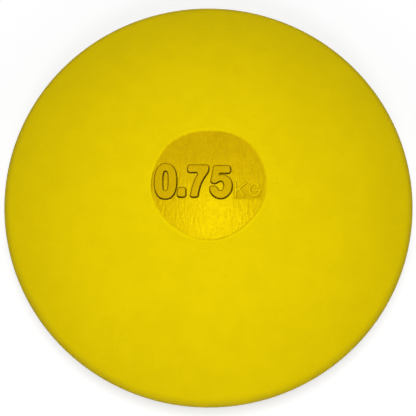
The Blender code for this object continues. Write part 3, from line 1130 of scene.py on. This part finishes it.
def disc_mesh(name, markings, radius, thickness, lip_round):
    """A centre disc whose packed upper face is at height 0, from sizes in metres, worked in mm."""
    edge = disc_edge(radius / MM, thickness / MM, lip_round / MM)
    edge_radius = edge[0][0]
    glyphs = [
        [oval(*ZERO_OUTER, OUTLINE_PITCH), oval(*ZERO_INNER, OUTLINE_PITCH, inner=True)],
        *([rounded(corners, OUTLINE_PITCH)] for corners in (POINT, SEVEN, FIVE)),
    ]
    skin = DiscSkin()
    skin.add(ring_of_points(edge_radius), closed=True)
    for glyph in glyphs:
        others = [line for other in glyphs if other is not glyph for line in other]
        for line in glyph:
            add_numeral(skin, line, others, markings)
    add_seam(skin)
    add_open_skin(skin, [line for glyph in glyphs for line in glyph], markings)
    places, (heights, creases, matte), faces, went = skin.triangulated()

    # The small letters on their plate, the skin's own unevenness, and the rise to its edge
    open_skin = 1 - smooth_step(0.0, 0.02, np.abs(heights))
    plate, strokes, letter_shadow = letter_relief(places) * open_skin
    plate = plate * smooth_step(*PLATE_TOP_FADE, -places[:, 1])
    heights = heights + (plate * markings.plate_relief + strokes * markings.letter_relief) / MM
    reach = np.linalg.norm(places, axis=1)
    spots = [Vector((x / RIPPLE_SIZE, y / RIPPLE_SIZE, 5.0)) for x, y in places]
    ripples = np.array([noise.fractal(spot, 1.0, 2.0, 3) for spot in spots])
    calm = smooth_step(edge_radius - RIPPLE_FADE, edge_radius, reach)
    heights += ripples * (1 - calm) * markings.skin_relief / MM
    dished = SKIN_LEVEL + (EDGE_LEVEL - SKIN_LEVEL) * (reach / edge_radius) ** 4
    heights = np.minimum(heights + dished, HIGHEST)

    # The rings down the edge, and the middle of the underside
    # The painted shadow below the small letters joins the creases' dirt and painted shade
    creases = np.maximum(creases, LETTER_SHADOW * letter_shadow)
    columns = [np.column_stack((places, heights, creases, np.maximum(matte, plate), strokes))]
    above = [went[index] for index in range(EDGE_STEPS)]
    start = len(places)
    bare = np.zeros((EDGE_STEPS, 3))
    for ring_radius, height in edge[1:]:
        level = np.full(EDGE_STEPS, height)
        columns.append(np.column_stack((ring_of_points(ring_radius), level, bare)))
        below = list(range(start, start + EDGE_STEPS))
        for step in range(EDGE_STEPS):
            after = (step + 1) % EDGE_STEPS
            faces.append((above[after], above[step], below[step], below[after]))
        above, start = below, start + EDGE_STEPS
    columns.append(np.array([(0.0, 0.0, -thickness / MM, 0.0, 0.0, 0.0)]))
    faces += [(above[(step + 1) % EDGE_STEPS], above[step], start) for step in range(EDGE_STEPS)]

    table = np.vstack(columns)
    mesh = bpy.data.meshes.new(name)
    mesh.from_pydata((table[:, :3] * MM).tolist(), [], faces)
    creases, matte, strokes = table[:, 3:].astype(np.float32).T.copy()
    set_attributes(mesh, crease=creases, matte=matte, stroke=strokes)
    return mesh


class DISCUS_OT_centre_discs(bpy.types.Operator):
    """Makes both centre discs, with raised numerals, small letters, and dirt and painted shade in
    creases
    """

    bl_idname = "discus.centre_discs"
    bl_label = "Centre discs"

    def execute(self, context):
        radius, thickness = DISC_HIGH.x, DISC_HIGH.z - DISC_LOW.z
        rubber = ochre_rubber(context.scene.discus_finish)
        lip_round = context.scene.discus_body.lip_round
        markings = context.scene.discus_markings
        source = disc_mesh("centre_disc", markings, radius, thickness, lip_round)
        to_middle = Matrix.Translation((0, 0, MIDDLE_HEIGHT))
        off_middle = Matrix.Translation((0, 0, DISC_HIGH.z - MIDDLE_HEIGHT))
        for node, turn in (("upper_centre_disc", 0.0), ("lower_centre_disc", TURNED_OVER)):
            mesh = source.copy()
            mesh.transform(to_middle @ Matrix.Rotation(turn, 4, "X") @ off_middle)
            mesh.materials.append(rubber)
            finish_piece(new_object(node + "_moulded", mesh), node)
        bpy.data.meshes.remove(source)
        return {"FINISHED"}


# ---------------------------------------------------------------- core plate


class DISCUS_OT_core_plate(bpy.types.Operator):
    """Gives the steel core plate its turned and lightly rusted finish"""

    bl_idname = "discus.core_plate"
    bl_label = "Core plate"

    def execute(self, context):
        steel = plate_steel(context.scene.discus_finish)
        for material_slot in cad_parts["steel_core_plate"].material_slots:
            material_slot.material = steel
        return {"FINISHED"}


# ---------------------------------------------------------------- stage

WHITE, PALE = (1.0, 1.0, 1.0), (0.8, 0.8, 0.8)
FLOOR_REACH = 6.0
FLOOR_DROP = 0.00002  # under the discus, so that the two don't touch
SHADOW_FROM, SHADOW_TO = 0.085, 0.135  # from the middle: where the floor's shadow fades out
SHADOWED_GREY, SHADOWED_GLOW = 0.62, 0.50  # of the floor near the discus, as it is seen
BOUNCE_GREY = 0.35  # of the floor as it lights the discus
LAMP_BREADTH, GLOSS_LAMP_BREADTH = 0.12, 0.05
KEY_PLACE, FRONT_PLACE = (0.0, 0.0, 0.325), (0.0, -0.300, 0.360)
GLOSS_PLACE, GLOSS_AIM = (0.006, 0.074, 0.449), (0.002, -0.011, CAD_HIGH.z)


def new_lamp(name, place, aim, breadth, power):
    lamp = bpy.data.lights.new(name, "AREA")
    lamp.shape = "ELLIPSE"
    lamp.size = lamp.size_y = breadth
    lamp.energy = power
    obj = new_object(name, lamp)
    obj.location = place
    obj.rotation_euler = (Vector(aim) - Vector(place)).to_track_quat("-Z", "Y").to_euler()
    obj.visible_camera = False
    return obj


def seen_share(sketch):
    """1 for rays that show the background: from the camera, mirrored, or through glass."""
    path = sketch.add("ShaderNodeLightPath").outputs
    seen = sketch.math("MAXIMUM", path["Is Camera Ray"], path["Is Glossy Ray"])
    return sketch.math("MAXIMUM", seen, path["Is Transmission Ray"])


def floor_material():
    """A pale floor that keeps the object's shadow near it, and turns plain white further off."""
    material, sketch, place = new_material("Pale floor", PALE)
    nodes = material.node_tree.nodes
    nodes.remove(nodes["Principled BSDF"])

    def matte(grey):
        return sketch.add("ShaderNodeBsdfDiffuse", {"Color": opaque(WHITE, grey)})

    def glowing(strength):
        inputs = {"Color": opaque(WHITE), "Strength": strength}
        return sketch.add("ShaderNodeEmission", inputs)

    def mixed(factor, first, second):
        return sketch.fill(sketch.add("ShaderNodeMixShader"), (factor, first, second))

    far = sketch.ramp(sketch.vector("LENGTH", place), SHADOW_FROM, SHADOW_TO)
    near = sketch.add("ShaderNodeAddShader")
    sketch.fill(near, (matte(SHADOWED_GREY), glowing(SHADOWED_GLOW)))
    shown = mixed(far, near, glowing(1.0))
    both = mixed(seen_share(sketch), matte(BOUNCE_GREY), shown)
    sketch.plug(nodes["Material Output"].inputs["Surface"], both)
    sketch.lay_out()
    return material


class DISCUS_OT_studio(bpy.types.Operator):
    """Makes the pale floor, the lamps, the background and the camera"""

    bl_idname = "discus.studio"
    bl_label = "Studio"

    def execute(self, context):
        studio = context.scene.discus_studio
        floor_mesh = bpy.data.meshes.new("floor")
        far = FLOOR_REACH
        corners = [(-far, -far, 0), (far, -far, 0), (far, far, 0), (-far, far, 0)]
        floor_mesh.from_pydata(corners, [], [(0, 1, 2, 3)])
        floor = new_object("floor", floor_mesh)
        floor.location.z = -FLOOR_DROP
        floor_mesh.materials.append(floor_material())

        top = (0, 0, CAD_HIGH.z)
        key = new_lamp("key_lamp", KEY_PLACE, top, LAMP_BREADTH, studio.key_power)
        front = new_lamp("front_lamp", FRONT_PLACE, top, LAMP_BREADTH, studio.front_power)
        gloss = new_lamp(
            "gloss_lamp", GLOSS_PLACE, GLOSS_AIM, GLOSS_LAMP_BREADTH, studio.gloss_power
        )
        key.visible_glossy = front.visible_glossy = gloss.visible_diffuse = False

        world = bpy.data.worlds.new("Studio")
        context.scene.world = world
        world.use_nodes = True
        sketch = Sketch(world.node_tree)
        background = world.node_tree.nodes["Background"]
        sketch.plug(background.inputs["Color"], opaque(WHITE))
        strength = sketch.ramp(seen_share(sketch), 0.0, 1.0, studio.ambient, 1.0)
        sketch.plug(background.inputs["Strength"], strength)
        sketch.lay_out()

        camera = bpy.data.cameras.new("camera")
        camera.lens = studio.lens
        camera.clip_start, camera.clip_end = 0.01, 50
        view = new_object("camera", camera)
        back = Vector((0, -math.sin(studio.camera_tilt), math.cos(studio.camera_tilt)))
        view.location = Vector((0, 0, MIDDLE_HEIGHT)) + studio.camera_distance * back
        sight = Vector(studio.camera_aim) - view.location
        view.rotation_euler = sight.to_track_quat("-Z", "Y").to_euler()
        context.scene.camera = view
        context.scene.view_settings.view_transform = "Standard"
        return {"FINISHED"}


# ---------------------------------------------------------------- panel and running


class DISCUS_PT_panel(bpy.types.Panel):
    """Lists the discus's settings and the steps that build it"""

    bl_idname = "DISCUS_PT_panel"
    bl_label = "Rubber discus"
    bl_space_type = "VIEW_3D"
    bl_region_type = "UI"
    bl_category = "Discus"

    def draw(self, context):
        for operator in OPERATORS:
            self.layout.operator(operator.bl_idname)
        for name, settings in SETTINGS.items():
            box = self.layout.box()
            box.label(text=settings.__doc__)
            for label in settings.__annotations__:
                box.prop(getattr(context.scene, name), label)


OPERATORS = [
    DISCUS_OT_rubber_halves, DISCUS_OT_centre_discs, DISCUS_OT_core_plate, DISCUS_OT_studio
]
SETTINGS = {
    "discus_body": DiscusBody,
    "discus_markings": DiscusMarkings,
    "discus_finish": DiscusFinish,
    "discus_studio": DiscusStudio,
}


def register():
    for cls in list(SETTINGS.values()) + OPERATORS + [DISCUS_PT_panel]:
        bpy.utils.register_class(cls)
    for name, settings in SETTINGS.items():
        setattr(bpy.types.Scene, name, PointerProperty(type=settings))


def unregister():
    for name in SETTINGS:
        delattr(bpy.types.Scene, name)
    for cls in [DISCUS_PT_panel] + OPERATORS[::-1] + list(SETTINGS.values())[::-1]:
        bpy.utils.unregister_class(cls)


def main():
    register()
    bpy.ops.discus.rubber_halves()
    bpy.ops.discus.centre_discs()
    bpy.ops.discus.core_plate()
    bpy.ops.discus.studio()


if __name__ == "__main__":
    main()
